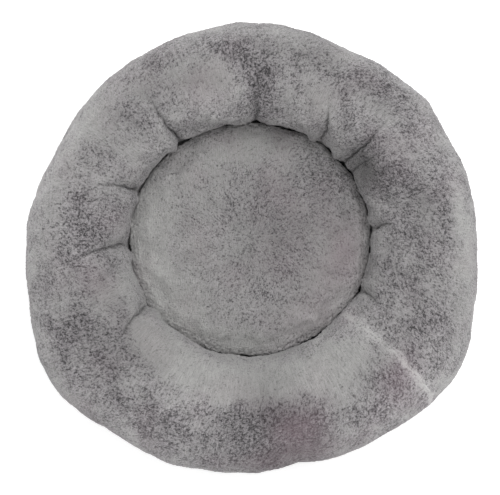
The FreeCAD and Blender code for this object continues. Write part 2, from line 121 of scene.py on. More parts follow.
# How far stuffing may move the ring's inner wall, the cushion's side, and its top beyond that.
WALL_PUFF = 3.0
PAD_PUFF, PAD_TOP_PUFF = 1.5, 4.0

# The pile's grain in millimetres: how long a strand lies down the ring, and the size of the cushion's
# strands in x, y and z.
GRAIN_LENGTH = 11.0
PAD_GRAIN = (1.3, 6.0, 3.0)

# Tucks in the ring's cover: angle where it starts at the throat, angle where it ends, length over the
# surface, depth, and width, in degrees and millimetres.
TUCKS = (
    (126, 124, 140, 9, 9),
    (157, 162, 118, 9, 9),
    (183, 188, 150, 9, 9),
    (213, 219, 118, 9, 10),
    (335, 331, 88, 7, 8),
    (5, 9, 78, 8, 7),
    (33, 37, 118, 5, 8),
    (39, 44, 150, 10, 9),
    (54, 66, 115, 8, 8),
    (87, 89, 105, 6, 16),
)

# The outline is drawn in all round by this much before it swells. Neither its swells nor the throat's
# reach the calm radius between them.
OUTLINE_DRAW = 10.5
CALM_RADIUS = 215.0

# Where the outline swells or draws in: angle, spread in degrees, and amount in millimetres.
OUTLINE_SWELLS = (
    (214, 17, 22),
    (248, 14, 8),
    (283, 6, -8),
    (300, 22, 5),
    (329, 17, 24),
    (357, 15, 3),
    (20, 9, 6),
    (40, 7, 9),
    (65, 9, -5),
    (124, 14, -5),
    (150, 13, -13),
)

# Where the well's mouth is wider or tighter: the same three values.
THROAT_SWELLS = (
    (215, 34, 2.5),
    (270, 22, 3.0),
    (315, 16, -1.8),
    (120, 18, -1.8),
    (338, 14, 1.6),
)

# The join between two panels of the cover: its angle at the throat, at its outer end, and how far it
# bows aside between them, in degrees.
PANEL_JOIN = (320.6, 318.2, 3.0)

# Where the pile lies brushed flat and pale: angle, radius, spread in degrees and millimetres, amount.
BRUSHED = (
    (268, 186, 34, 22, 1.0),
    (305, 196, 14, 26, 0.7),
    (228, 178, 16, 20, 0.8),
    (199, 205, 9, 40, 0.6),
    (105, 215, 9, 28, 0.6),
    (140, 262, 14, 26, 0.5),
    (143, 190, 7, 22, 0.5),
    (62, 200, 5, 30, 0.5),
    (45, 245, 8, 24, 0.35),
    (355, 282, 18, 14, 0.6),
    (75, 275, 14, 18, 0.3),
    (170, 270, 9, 20, 0.3),
)

# Where the ring's pile stands up and looks dark: the same five values.
RUFFLED = (
    (276, 242, 13, 44, 0.8),
    (50, 262, 12, 22, 0.45),
    (22, 205, 15, 28, 0.5),
    (172, 215, 9, 30, 0.4),
    (205, 232, 14, 30, 0.4),
    (240, 262, 14, 26, 0.3),
    (314, 262, 8, 34, 0.3),
    (336, 240, 8, 30, 0.4),
    (92, 250, 7, 30, 0.4),
    (86, 195, 4, 34, 0.9),
)

# Painted light and shade on the ring's pile, brushed or not: spots made paler where light falls and darker
# where shade gathers, as by the well's mouth. The same five values, the amount being a share of its
# brightness.
PAINTED_LIGHT_AND_SHADE = (
    (33, 180, 13, 28, -0.30),
    (12, 222, 12, 24, -0.26),
    (348, 220, 9, 22, -0.09),
    (345, 178, 14, 18, -0.17),
    (316, 283, 18, 36, 0.35),
    (30, 276, 22, 15, 0.10),
    (78, 270, 11, 26, -0.12),
    (122, 240, 22, 34, -0.16),
    (160, 300, 24, 20, 0.36),
    (140, 208, 16, 24, -0.09),
    (320, 222, 26, 14, -0.09),
    (222, 208, 10, 22, -0.10),
    (208, 188, 22, 22, -0.12),
    (68, 240, 15, 70, -0.12),
    (47, 248, 9, 16, -0.16),
    (107, 210, 9, 20, -0.10),
    (178, 214, 10, 24, 0.07),
    (208, 222, 20, 38, -0.16),
    (235, 290, 20, 24, 0.17),
    (248, 232, 9, 40, 0.10),
    (250, 176, 26, 12, 0.08),
    (277, 210, 12, 38, -0.28),
    (280, 292, 13, 26, -0.32),
    (318, 176, 10, 12, 0.12),
    (105, 186, 34, 16, 0.14),
    (86, 200, 4, 36, -0.18),
    (120, 235, 8, 26, -0.05),
    (32, 172, 10, 14, -0.42),
    (48, 300, 40, 16, -0.07),
)

# Where the pile has a warm cast: the same five values.
RING_BLUSH = (
    (284, 245, 8, 38, 0.9),
    (280, 288, 14, 16, 0.7),
    (197, 195, 8, 25, 0.5),
    (109, 215, 8, 25, 0.4),
    (318, 250, 8, 30, 0.3),
)
CUSHION_BLUSH = (
    (345, 130, 22, 26, 0.6),
    (310, 108, 22, 34, 0.3),
    (20, 70, 60, 60, 0.25),
)

# The cushion's brushed pile, and its painted light and shade, darker in its middle and paler round its edge:
# the same five values, its angles and radii about its own middle.
CUSHION_BRUSHED = (
    (185, 135, 38, 26, 0.6),
    (225, 125, 22, 30, 0.4),
    (265, 138, 30, 14, 0.4),
    (95, 120, 30, 22, 0.3),
    (330, 110, 22, 30, 0.2),
    (40, 120, 24, 34, -0.4),
    (290, 60, 60, 50, -0.3),
    (80, 45, 60, 40, -0.3),
)
CUSHION_PAINTED_LIGHT_AND_SHADE = (
    (20, 62, 70, 62, -0.16),
    (0, 0, 360, 50, -0.14),
    (188, 135, 42, 28, 0.11),
    (208, 144, 60, 18, 0.18),
    (325, 144, 34, 18, 0.26),
    (45, 146, 18, 12, 0.12),
    (45, 120, 32, 26, -0.07),
    (82, 136, 18, 16, -0.18),
)


def length_property(name, description, millimetres):
    """A length that a user can change."""
    return FloatProperty(name=name, description=description, default=millimetres * MM,
                         unit="LENGTH", subtype="DISTANCE")


class BedSizes(PropertyGroup):
    well_shift: length_property("Well shift", "How far the well lies towards the back", 12.0)
    puff_limit: length_property("Puff limit", "The furthest that stuffing pushes a point of a cover", 11.0)
    pile_depth: length_property("Pile depth", "Depth of the gaps between curls of standing pile", 2.4)
    curl_width: length_property("Curl width", "Size of the pile's curls", 2.3)
    cushion_crown: length_property("Cushion crown", "Height of the cushion's middle", 82.0)
    thread_pitch: length_property("Thread pitch", "Distance between threads of the base cloth", 1.1)
    stitch_pitch: length_property("Stitch pitch", "Distance between stitches", 3.6)
    seed: IntProperty(name="Seed", description="Starts the order of random draws", default=7, min=0)


def colour_property(name, description, value):
    """A colour that a user can change."""
    return FloatVectorProperty(
        name=name, description=description, subtype="COLOR", size=3, min=0.0, max=1.0, default=value)


class BedColours(PropertyGroup):
    # The gap colour is painted shade: the dark between the curls stands for their shadow.
    pile_gap_shade: colour_property("Pile gaps", "Between the curls", (0.045, 0.042, 0.044))
    pile_tip: colour_property("Pile tips", "Tips of the standing pile", (0.292, 0.277, 0.286))
    pile_brushed: colour_property("Brushed pile", "Pile that lies flat", (0.314, 0.311, 0.305))
    pile_blush: colour_property("Blush", "Warm cast in some of the pile", (0.250, 0.176, 0.204))
    base_cloth: colour_property("Base cloth", "Coated cloth under the bed", (0.050, 0.050, 0.054))
    lining: colour_property("Lining", "Well floor and cushion underside", (0.130, 0.127, 0.130))
    piping: colour_property("Piping", "Cloth round the piping cord", (0.110, 0.107, 0.110))
    thread: colour_property("Thread", "Sewing thread", (0.240, 0.236, 0.240))
    tape: colour_property("Zip tape", "The zip's two tapes", (0.095, 0.095, 0.100))
    coil: colour_property("Zip coil", "The zip's two coils", (0.085, 0.085, 0.090))
    metal: colour_property("Zip metal", "Slider, pull tab and stops", (0.420, 0.415, 0.420))
    rubber: colour_property("Grip dots", "Dots under the base", (0.028, 0.028, 0.030))
    label: colour_property("Label", "Blank care label", (0.780, 0.775, 0.755))


# ---- shapes as arrays ---------------------------------------------------------------------------


def ease(x):
    """0 below 0, 1 above 1, and 3x^2 - 2x^3 between."""
    x = np.clip(x, 0.0, 1.0)
    return x * x * (3.0 - 2.0 * x)


def turn_apart(a, b):
    """The angle from b to a, wrapped to within half a turn."""
    return (a - b + math.pi) % FULL_TURN - math.pi


def bell(turn, angle, wide):
    """1 at an angle and less to either side of it, exp(-(a/w)^2), with angle and width in degrees."""
    return np.exp(-((turn_apart(turn, math.radians(angle)) / math.radians(wide)) ** 2))


def cloud(points, cell, seed):
    """Smooth random values from about -1 to 1 that change over about one cell.

    Space is cut into cubes a cell wide with a random unit vector at each corner. Each corner gives the
    dot product of its vector with the way to the point, and a quintic step blends the eight.
    """
    rng = np.random.default_rng(seed)
    vectors = rng.normal(size=(256, 3))
    vectors /= np.linalg.norm(vectors, axis=1, keepdims=True)
    mixed = rng.permutation(256)
    shape = points.shape[:-1]
    q = points.reshape(-1, 3) / cell
    low = np.floor(q).astype(np.int64)
    f = q - low
    blend = f**3 * (f * (f * 6.0 - 15.0) + 10.0)
    total = np.zeros(len(q))
    for corner in np.ndindex(2, 2, 2):
        at = low + corner
        pick = mixed[(mixed[(mixed[at[:, 0] & 255] + at[:, 1]) & 255] + at[:, 2]) & 255]
        weight = np.prod(np.where(corner, blend, 1.0 - blend), axis=1)
        total += weight * np.einsum("ij,ij->i", vectors[pick], f - corner)
    return (1.7 * total).reshape(shape)


def grid_normals(points, close_columns=True):
    """Unit normals of a grid closed along its rows: the cross product of its two central differences."""
    along = np.roll(points, -1, 0) - np.roll(points, 1, 0)
    if close_columns:
        across = np.roll(points, -1, 1) - np.roll(points, 1, 1)
    else:
        across = np.gradient(points, axis=1)
    normal = np.cross(along, across)
    return normal / np.maximum(np.linalg.norm(normal, axis=-1, keepdims=True), 1e-9)


def spline_weights(count, places, closed=True):
    """Weights that read a uniform cubic B-spline with count control rows at the given places."""
    base = np.floor(places).astype(int)
    f = places - base
    parts = (
        (1 - f) ** 3 / 6,
        (3 * f**3 - 6 * f**2 + 4) / 6,
        (-3 * f**3 + 3 * f**2 + 3 * f + 1) / 6,
        f**3 / 6,
    )
    weights = np.zeros((len(places), count))
    for step, part in zip((-1, 0, 1, 2), parts):
        at = (base + step) % count if closed else np.clip(base + step, 0, count - 1)
        np.add.at(weights, (np.arange(len(places)), at), part)
    return weights


def refine(grid, row_places, column_places, closed_columns=True):
    """A finer grid read from a coarse one by cubic B-splines both ways."""
    rows = spline_weights(grid.shape[0], row_places)
    columns = spline_weights(grid.shape[1], column_places, closed_columns)
    return np.einsum("vc,ucx->uvx", columns, np.tensordot(rows, grid, 1))


# ---- meshes -------------------------------------------------------------------------------------


def grid_quads(rows, columns, close_rows, close_columns):
    """Quads of a grid, with each corner's row and column counted on past a closing edge."""
    i = np.arange(rows if close_rows else rows - 1)
    j = np.arange(columns if close_columns else columns - 1)
    i, j = np.meshgrid(i, j, indexing="ij")
    ci = np.stack([i, i + 1, i + 1, i], -1).reshape(-1, 4)
    cj = np.stack([j, j, j + 1, j + 1], -1).reshape(-1, 4)
    return (ci % rows) * columns + cj % columns, ci, cj


def put_mesh(name, points, quads, triangles=None, uv=None, values=None, vectors=None):
    """A mesh object from points in millimetres, turned inside out first if its volume is negative."""
    triangles = np.zeros((0, 3), int) if triangles is None else triangles
    fans = np.concatenate([quads[:, [0, 1, 2]], quads[:, [0, 2, 3]], triangles])
    a, b, c = points[fans[:, 0]], points[fans[:, 1]], points[fans[:, 2]]
    if np.einsum("ij,ij->", a, np.cross(b, c)) < 0:
        quads, triangles = quads[:, ::-1], triangles[:, ::-1]
        uv = None if uv is None else np.concatenate(
            [uv[: quads.size].reshape(-1, 4, 2)[:, ::-1].reshape(-1, 2),
             uv[quads.size:].reshape(-1, 3, 2)[:, ::-1].reshape(-1, 2)])
    mesh = bpy.data.meshes.new(name)
    mesh.vertices.add(len(points))
    mesh.vertices.foreach_set("co", (points * MM).astype(np.float32).ravel())
    mesh.loops.add(quads.size + triangles.size)
    mesh.loops.foreach_set("vertex_index", np.concatenate([quads.ravel(), triangles.ravel()]))
    mesh.polygons.add(len(quads) + len(triangles))
    starts = np.concatenate(
        [np.arange(len(quads)) * 4, quads.size + np.arange(len(triangles)) * 3])
    mesh.polygons.foreach_set("loop_start", starts)
    mesh.polygons.foreach_set("use_smooth", np.ones(len(starts), bool))
    for key, array in (values or {}).items():
        data = mesh.attributes.new(key, "FLOAT", "POINT").data
        data.foreach_set("value", array.astype(np.float32).ravel())
    for key, array in (vectors or {}).items():
        data = mesh.attributes.new(key, "FLOAT_VECTOR", "POINT").data
        data.foreach_set("vector", array.astype(np.float32).ravel())
    if uv is not None:
        mesh.uv_layers.new(name="cloth").data.foreach_set("uv", uv.astype(np.float32).ravel())
    mesh.update(calc_edges=True)
    made = bpy.data.objects.new(name, mesh)
    bpy.context.scene.collection.objects.link(made)
    return made


def round_points(radius, height, turn):
    """Points at a radius and height, carried round the upright axis: (r cos t, r sin t, h)."""
    radius, height, turn = np.broadcast_arrays(radius, height, turn)
    return np.stack([radius * np.cos(turn), radius * np.sin(turn), height], -1)


def swept(name, section, turn, closed):
    """A closed section carried round the upright axis, with its ends capped unless it closes.

    section holds radius and height for each turn and each place round the section. Its UV map is in
    metres: the way round the bed, and the way round the section.
    """
    rows, columns = section.shape[:2]
    points = round_points(section[..., 0], section[..., 1], turn[:, None])
    quads, ci, cj = grid_quads(rows, columns, closed, True)
    step = np.linalg.norm(np.roll(section, -1, 1) - section, axis=-1)[0]
    across = np.concatenate([[0], np.cumsum(step)]) * MM
    along = np.concatenate([turn, [turn[0] + FULL_TURN]]) * section[..., 0].mean() * MM
    uv = np.stack([along[ci], across[cj]], -1).reshape(-1, 2)
    points = points.reshape(-1, 3)
    triangles = None
    if not closed:
        ends = [points[:columns].mean(0), points[-columns:].mean(0)]
        points = np.concatenate([points, ends])
        ring = np.arange(columns)
        first = np.stack([ring, np.roll(ring, -1), np.full(columns, rows * columns)], -1)
        last = np.stack([np.roll(ring, -1), ring, np.full(columns, rows * columns + 1)], -1)
        last[:, :2] += (rows - 1) * columns
        triangles = np.concatenate([first, last])
        uv = np.concatenate([uv, np.zeros((triangles.size, 2))])
    return put_mesh(name, points, quads, triangles, uv)


def flank_place(out, up):
    """Radius and height of a place given in the zip's own axes: out of the flank, and up along it."""
    run = math.sqrt(OUTER_FLANK**2 - (BELLY - ZIP_HEIGHT) ** 2)
    radius = BED_RADIUS - OUTER_FLANK + run + out * math.cos(FLANK_TILT) + up * math.sin(FLANK_TILT)
    return radius, ZIP_HEIGHT - out * math.sin(FLANK_TILT) + up * math.cos(FLANK_TILT)


def flank_foot(depth, height):
    """Radius of the outer flank at a height, depth under its surface."""
    return BED_RADIUS - OUTER_FLANK + np.sqrt((OUTER_FLANK - depth) ** 2 - (BELLY - height) ** 2)


def spans(first, last, step):
    """Evenly spaced turns from first to last, in radians, about step millimetres apart."""
    return np.linspace(first, last, max(int(abs(last - first) * BED_RADIUS / step), 2) + 1)


def all_round(step):
    """Evenly spaced turns round the whole bed, without the last."""
    return np.arange(0, FULL_TURN, FULL_TURN / round(FULL_TURN * BED_RADIUS / step))


# ---- materials ----------------------------------------------------------------------------------


class Finish:
    """A material under construction: its nodes, its links and its Principled shader."""

    def __init__(self, name, colour, roughness, **settings):
        self.material = bpy.data.materials.new(name)
        self.material.use_nodes = True
        self.tree = self.material.node_tree
        self.shader = self.tree.nodes["Principled BSDF"]
        self.shader.inputs["Base Color"].default_value = (*colour, 1.0)
        self.shader.inputs["Roughness"].default_value = roughness
        for key, value in settings.items():
            self.shader.inputs[key.replace("_", " ")].default_value = value

    def node(self, kind, links=None, **settings):
        """A node with its properties or input values set, and its inputs linked."""
        made = self.tree.nodes.new(kind)
        for key, value in settings.items():
            if hasattr(made, key):
                setattr(made, key, value)
            else:
                made.inputs[key.replace("_", " ")].default_value = value
        for key, socket in (links or {}).items():
            self.tree.links.new(socket, made.inputs[key])
        return made

    def maths(self, operation, first, second):
        """The result of a Math node on sockets or numbers."""
        made = self.tree.nodes.new("ShaderNodeMath")
        made.operation = operation
        for place, value in enumerate((first, second)):
            if isinstance(value, (int, float)):
                made.inputs[place].default_value = value
            else:
                self.tree.links.new(value, made.inputs[place])
        return made.outputs[0]

    def blend(self, share, first, second):
        """A blend of two colours, each a socket or three numbers, by a share."""
        made = self.tree.nodes.new("ShaderNodeMix")
        made.data_type = "RGBA"
        for place, value in ((0, share), (6, first), (7, second)):
            if isinstance(value, bpy.types.NodeSocket):
                self.tree.links.new(value, made.inputs[place])
            else:
                made.inputs[place].default_value = value if place == 0 else (*value, 1.0)
        return made.outputs[2]

    def scaled(self, value, by, plus=0.0):
        """A value times by, plus a number or another value."""
        return self.maths("ADD", self.maths("MULTIPLY", value, by), plus)

    def tinted(self, colour, by):
        """A colour times a value."""
        made = self.node("ShaderNodeVectorMath", {0: colour, "Scale": by}, operation="SCALE")
        return made.outputs[0]

    def share(self, value, low, high, most=1.0):
        """0 where a value is low, and most where it is high."""
        made = self.node("ShaderNodeMapRange", {"Value": value})
        for key, setting in (("From Min", low), ("From Max", high), ("To Max", most)):
            made.inputs[key].default_value = setting
        return made.outputs[0]

    def attribute(self, name, output="Fac"):
        """The mesh's own value or vector of that name."""
        return self.node("ShaderNodeAttribute", attribute_name=name).outputs[output]

    def paint(self, colour):
        """Links a colour to the shader."""
        self.tree.links.new(colour, self.shader.inputs["Base Color"])

    def rough(self, value):
        """Links a roughness to the shader."""
        self.tree.links.new(value, self.shader.inputs["Roughness"])

    def emboss(self, height, distance, strength=1.0):
        """Links a height to the shader as a bump, distance in metres."""
        bump = self.node("ShaderNodeBump", {"Height": height}, Distance=distance, Strength=strength)
        self.tree.links.new(bump.outputs[0], self.shader.inputs["Normal"])

    def noise(self, vector, scale, detail=2.0, roughness=0.5, twist=0.0):
        """A noise texture's value on a vector."""
        made = self.node("ShaderNodeTexNoise", {"Vector": vector}, Scale=scale, Detail=detail)
        made.inputs["Roughness"].default_value = roughness
        made.inputs["Distortion"].default_value = twist
        return made.outputs["Fac"]

    def place(self):
        """The object's own coordinates, in metres."""
        return self.node("ShaderNodeTexCoord").outputs["Object"]


def shaded(colour, by):
    """Three numbers of a colour times by, none over 1."""
    return tuple(min(by * c, 1.0) for c in colour)


def plush_finish(name, colours):
    """Short plush: painted shade between the curls, paler on their tips, palest where it lies brushed flat.

    The mesh's nap says how flat the pile lies: gaps shrink to pinholes and close as it nears 1.
    """
    made = Finish(name, colours.pile_tip, 1.0, Sheen_Weight=0.35, Sheen_Roughness=0.4,
                  Specular_IOR_Level=0.15)
    place = made.place()
    nap, grain = made.attribute("nap"), made.attribute("grain", "Vector")
    fibre = made.noise(place, 560.0, 2.0, 0.6)
    strand = made.noise(grain, 1.0, 2.0, 0.6)
    lint = made.noise(place, 1000.0, 1.0, 0.5)
    hair = made.noise(grain, 4.5, 1.0, 0.5, 2.2)
    height = made.scaled(made.attribute("curl"), 0.3, made.maths("MULTIPLY", fibre, 0.6))
    height = made.scaled(lint, 0.38, height)
    height = made.scaled(nap, 0.2, height)
    tips = made.blend(nap, colours.pile_tip, colours.pile_brushed)
    streaky = made.tinted(tips, made.scaled(hair, 1.15, made.scaled(strand, 0.8, 0.02)))
    # Low places between the curls take the gap colour: painted shade between the curls.
    mixed = made.blend(made.share(height, 0.51, 0.77), colours.pile_gap_shade, streaky)
    warm = made.blend(made.maths("MULTIPLY", made.attribute("blush"), 0.5), mixed, colours.pile_blush)
    # This attribute multiplies the colour: random tone with painted light and shade, and painted shade in
    # the creases.
    made.paint(made.tinted(warm, made.attribute("tone_and_painted_light")))
    made.emboss(made.scaled(hair, 0.12, fibre), 2.0 * MM)
    return made.material


def weave_finish(name, colour, pitch, roughness, shine=0.3, sheen=0.1):
    """Plain weave: threads over and under in turn both ways, on the piece's UV map in metres."""
    made = Finish(name, colour, roughness, Sheen_Weight=sheen, Specular_IOR_Level=shine)
    cloth = made.node("ShaderNodeUVMap", uv_map="cloth").outputs[0]
    across = made.node("ShaderNodeSeparateXYZ", {0: cloth})
    warp, weft = (made.maths("SINE", made.maths("MULTIPLY", across.outputs[way], math.pi / pitch), 0)
                  for way in (0, 1))
    height = made.scaled(made.maths("MULTIPLY", warp, weft), 0.5, 0.5)
    # Threads are darker where they dip under and paler on their crowns, as the bump has them: painted shade
    # and highlight.
    threads = made.blend(height, shaded(colour, 0.55), shaded(colour, 1.35))
    worn = made.share(made.noise(made.place(), 35.0, 4.0, 0.6), 0.35, 0.75, 0.35)
    made.paint(made.blend(worn, threads, shaded(colour, 1.9)))
    made.emboss(height, 0.3 * pitch)
    return made.material


def hard_finish(name, colour, roughness, metallic, grit, depth):
    """Metal, nylon or rubber: even colour with fine wear in its colour, roughness and surface."""
    made = Finish(name, colour, roughness, Metallic=metallic)
    fine = made.noise(made.place(), grit, 4.0, 0.6)
    made.paint(made.blend(fine, shaded(colour, 0.75), shaded(colour, 1.2)))
    made.rough(made.scaled(fine, 0.25, roughness - 0.12))
    made.emboss(fine, depth)
    return made.material


def dress(made, material, body):
    """Gives a new piece its material and its body."""
    made.data.materials.clear()
    made.data.materials.append(material)
    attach(made, body)
    return made


def dress_node(node, material):
    """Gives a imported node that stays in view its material."""
    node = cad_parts[node]
    for slot in node.material_slots:
        slot.material = material


# ---- stuffing -----------------------------------------------------------------------------------


def stuff(points, quads, triangles, sewn, pressure, limit, frames=22):
    """A closed cover, pushed out by cloth simulation under pressure while its sewn points hold.

    sewn is how firmly each point is held, from 0 to 1. No point ends further than its limit from where
    it started: a longer move is shortened smoothly.
    """
    made = put_mesh("stuffing", points, quads, triangles)
    group = made.vertex_groups.new(name="sewn")
    for level in range(1, 11):
        chosen = np.nonzero(np.rint(sewn * 10).astype(int) == level)[0]
        if len(chosen):
            group.add(chosen.tolist(), level / 10, "REPLACE")
    cloth = made.modifiers.new("Cloth", "CLOTH")
    settings = cloth.settings
    settings.quality = 5
    settings.mass = 0.4
    settings.tension_stiffness = 25.0
    settings.compression_stiffness = 25.0
    settings.shear_stiffness = 12.0
    settings.bending_stiffness = 3.0
    settings.air_damping = 4.0
    settings.vertex_group_mass = "sewn"
    settings.pin_stiffness = 4.0
    settings.use_pressure = True
    settings.uniform_pressure_force = pressure
    settings.shrink_min = -0.025
    settings.effector_weights.gravity = 0.0
    cloth.collision_settings.use_collision = False
    scene = bpy.context.scene
    for number in range(1, frames + 1):
        scene.frame_set(number)
    held = made.evaluated_get(bpy.context.evaluated_depsgraph_get()).to_mesh()
    moved = np.empty(len(points) * 3, np.float32)
    held.vertices.foreach_get("co", moved)
    scene.frame_set(1)
    mesh = made.data
    bpy.data.objects.remove(made)
    bpy.data.meshes.remove(mesh)
    way = moved.reshape(-1, 3).astype(float) / MM - points
    length = np.linalg.norm(way, axis=1, keepdims=True)
    return points + way * limit * np.tanh(length / limit) / np.maximum(length, 1e-9)


def patches(turn, radius, spots):
    """The sum of soft round spots, each given by angle, radius, two spreads and an amount."""
    total = np.zeros_like(radius)
    for angle, middle, wide, deep, amount in spots:
        across = turn_apart(turn[:, None], math.radians(angle)) / math.radians(wide)
        total += amount * np.exp(-(across**2) - ((radius - middle) / deep) ** 2)
    return total


def pile(points, normals, nap, sizes, cover, edge):
    """Raises the pile: curls where it stands up, almost flat where it is brushed.

    cover is 1 where the pile shows and 0 where the cloth is hidden or sewn down, and edge is 1 where the
    pile sticks out past an edge and looks ragged. Gives the new points and the values that the plush
    finish reads.
    """
    seed = sizes.seed
    curl = 0.8 * cloud(points, sizes.curl_width / MM, seed + 1)
    curl = np.clip(0.5 + curl + 0.3 * cloud(points, 2.1 * sizes.curl_width / MM, seed + 2), 0, 1)
    swell = 0.9 * cloud(points, 17.0, seed + 3) + 2.1 * cloud(points, 44.0, seed + 4)
    depth = sizes.pile_depth / MM * (1.0 - 0.75 * nap)
    raised = points + normals * (cover * ((depth + 1.6 * edge) * (curl - 0.5) + swell))[..., None]
    # Random tone to start with; the ring and the cushion then multiply painted light and shade into it.
    tone_and_painted_light = 1.0 + 0.08 * cloud(points, 26.0, seed + 5) + 0.05 * cloud(points, 11.0, seed + 6)
    return raised, {"curl": curl, "nap": nap, "tone_and_painted_light": tone_and_painted_light}


# ---- the ring -----------------------------------------------------------------------------------


def seam_angle(turn):
    """Where on the outer flank's arc the plush is sewn: above the zip at the back, else above the piping."""
    from_zip = (np.abs(turn_apart(turn, ZIP_MIDDLE)) - ZIP_HALF_ARC) / math.radians(1.6)
    up = ZIP_HALF_WIDTH + (PIPING - 2 * ZIP_HALF_WIDTH) * ease(from_zip + 0.5)
    rise = flank_place(0.0, 0.0)[1] - BELLY + up * math.cos(FLANK_TILT)
    return np.arcsin(rise / OUTER_FLANK)


def ring_section(turn):
    """Radius, height and run for each turn and each row of the ring's section.

    The first rows follow three arcs by even steps of length: up the outer flank, over the crest and
    down the inner flank. The next go out along the base, and the last go up inside the rim. The run is
    the length over the surface from the throat, growing outwards.
    """
    start = seam_angle(turn)[:, None]
    outer = -start * OUTER_FLANK
    crest = math.pi * CREST_RADIUS
    drop = BELLY - FOOT
    inner = INNER_FLANK * math.asin(drop / INNER_FLANK)
    length = outer + crest + inner
    way = np.linspace(0.0, 1.0, TOP_ROWS) * length
    on_outer, on_crest = way < outer, way < outer + crest
    a = start + way / OUTER_FLANK
    b = (way - outer) / CREST_RADIUS
    c = (way - outer - crest) / INNER_FLANK
    centre = BED_RADIUS - OUTER_FLANK
    radius = np.where(on_outer, centre + OUTER_FLANK * np.cos(a), np.where(
        on_crest, RING_RADIUS + CREST_RADIUS * np.cos(b),
        THROAT_RADIUS + INNER_FLANK * (1 - np.cos(c))))
    height = np.where(on_outer, BELLY + OUTER_FLANK * np.sin(a), np.where(
        on_crest, BELLY + CREST_RADIUS * np.sin(b), BELLY - INNER_FLANK * np.sin(c)))
    run = outer + crest - way
    inside = OUTER_FLANK - INSIDE_DEPTH
    foot_angle = math.asin((FOOT - BELLY) / inside)
    base = np.linspace(0, 1, BASE_ROWS + 1)[1:] * np.ones_like(start)
    base_radius = radius[:, -1:] + base * (centre + inside * math.cos(foot_angle) - 3.0 - radius[:, -1:])
    rise = np.linspace(0, 1, INSIDE_ROWS + 2)[1:-1]
    up = foot_angle + rise * (start - foot_angle)
    radius = np.concatenate([radius, base_radius, centre + inside * np.cos(up)], 1)
    height = np.concatenate([height, FOOT + 0 * base_radius, BELLY + inside * np.sin(up)], 1)
    hidden = -inner + np.zeros((len(turn), BASE_ROWS + INSIDE_ROWS))
    return radius, height, np.concatenate([run, hidden], 1)


def lay_ring(turn, radius, height, shift):
    """Places the ring's section round the bed, with its outline's swells and its well moved back."""
    turn = turn[:, None]
    lifted = ease((height - 34.0) / 60.0)
    outward = ease((radius - CALM_RADIUS) / 85.0)
    swell = -OUTLINE_DRAW + 0 * radius
    for angle, wide, amount in OUTLINE_SWELLS:
        swell = swell + amount * bell(turn, angle, wide)
    inward = ease((CALM_RADIUS - radius) / 50.0)
    notch = 0 * radius
    for angle, _, _, depth, _ in TUCKS:
        notch = notch + 0.15 * depth * bell(turn, angle, 5)
    opened = 1.0 + 3.5 * np.cos(2 * turn) - 1.0 * np.clip(np.sin(turn), 0, 1) ** 4
    opened = opened - 5.0 * np.clip(-np.sin(turn), 0, 1) ** 3
    for angle, wide, amount in THROAT_SWELLS:
        opened = opened + amount * bell(turn, angle, wide)
    radius = radius + lifted * (outward * swell + inward * (np.minimum(notch, 1.5) + opened))
    slump = 4.0 * np.cos(turn - math.radians(250)) + 2.5 * np.sin(3 * turn + 0.6) + 1.5 * np.sin(5 * turn)
    height = height + ease((height - 70.0) / 100.0) * (slump - 4.0)
    share = np.clip((BED_RADIUS - radius) / (BED_RADIUS - THROAT_RADIUS), 0.0, 1.0)
    points = round_points(radius, height, turn)
    points[..., 1] += shift * share * ease((height - 12.0) / 60.0)
    return points


def each_tuck(turn, run, radius, waver=0.0):
    """For each tuck: how far along it each point is, how far across, its depth and its width."""
    for start, end, length, deep, wide in TUCKS:
        along = np.clip(run / length, 0, 1)
        angle = np.radians(start + (end - start) * along**2)
        yield along, turn_apart(turn[:, None], angle) * radius + waver, deep, wide


def tuck_depth(turn, run, radius):
    """How deep the tucks draw the cover in, and how near each point is to a tuck's bottom.

    Across a tuck the depth is a bell, with a lower bell of the other sign on the side where the cloth
    rolls over it. Along it the depth eases to nothing at its end, and down the well's wall.
    """
    depth, near = np.zeros_like(run), np.zeros_like(run)
    for along, across, deep, wide in each_tuck(turn, run, radius):
        fade = ease(1.0 - along) * ease((run + 60.0) / 45.0)
        spread = wide * (0.7 + 0.6 * along)
        ridge = np.exp(-(((across - 2.0 * spread) / (1.4 * spread)) ** 2))
        groove = (0.35 + 0.5 * ease(run / 45.0)) * np.exp(-((across / spread) ** 2))
        depth = depth + deep * fade * (groove - 0.5 * ridge)
        near = np.maximum(near, fade * np.exp(-((across / 4.0) ** 2)))
    return depth, near


def crease_depth(turn, run, radius, waver):
    """How deep the narrow creases at the tucks' bottoms are, moved sideways by waver."""
    depth = np.zeros_like(run)
    for along, across, deep, wide in each_tuck(turn, run, radius, waver):
        reach = ease(1.25 * (1.0 - along)) * ease((run + 40.0) / 30.0)
        depth = depth + 0.55 * deep * reach * np.exp(-np.abs(across / (0.16 * wide)) ** 1.6)
    return depth


def stuffed_ring(sizes, turn, radius, height, run):
    """The ring's cover as a coarse grid, drawn in at its tucks and then stuffed."""
    coarse = lay_ring(turn, radius, height, sizes.well_shift / MM)
    deep, near = tuck_depth(turn, run, radius)
    coarse = coarse + grid_normals(coarse) * deep[..., None] * inward_sign(coarse)
    quads, _, _ = grid_quads(*coarse.shape[:2], True, True)
    sewn = np.clip(1.15 * near, 0, 1)
    sewn[:, TOP_ROWS - 4:] = 1.0
    sewn[:, :3] = 1.0
    limit = WALL_PUFF + (sizes.puff_limit / MM - WALL_PUFF) * ease((run + 5.0) / 60.0)
    stuffed = stuff(coarse.reshape(-1, 3), quads, None, sewn.ravel(), 3.0, limit.reshape(-1, 1))
    return stuffed.reshape(coarse.shape)


def panel_join(turn, radius, run, waver):
    """How near each point is to the join between two panels, from 0 to 1."""
    first, last, bow = PANEL_JOIN
    along = np.clip(run / 215, 0, 1)
    angle = np.radians(first + (last - first) * along + 4 * bow * along * (1 - along))
    beside = turn_apart(turn[:, None], angle) * radius + 1.3 * waver
    return np.exp(-((beside / (7.5 - 2.0 * along)) ** 2)) * ease((run + 10) / 30)


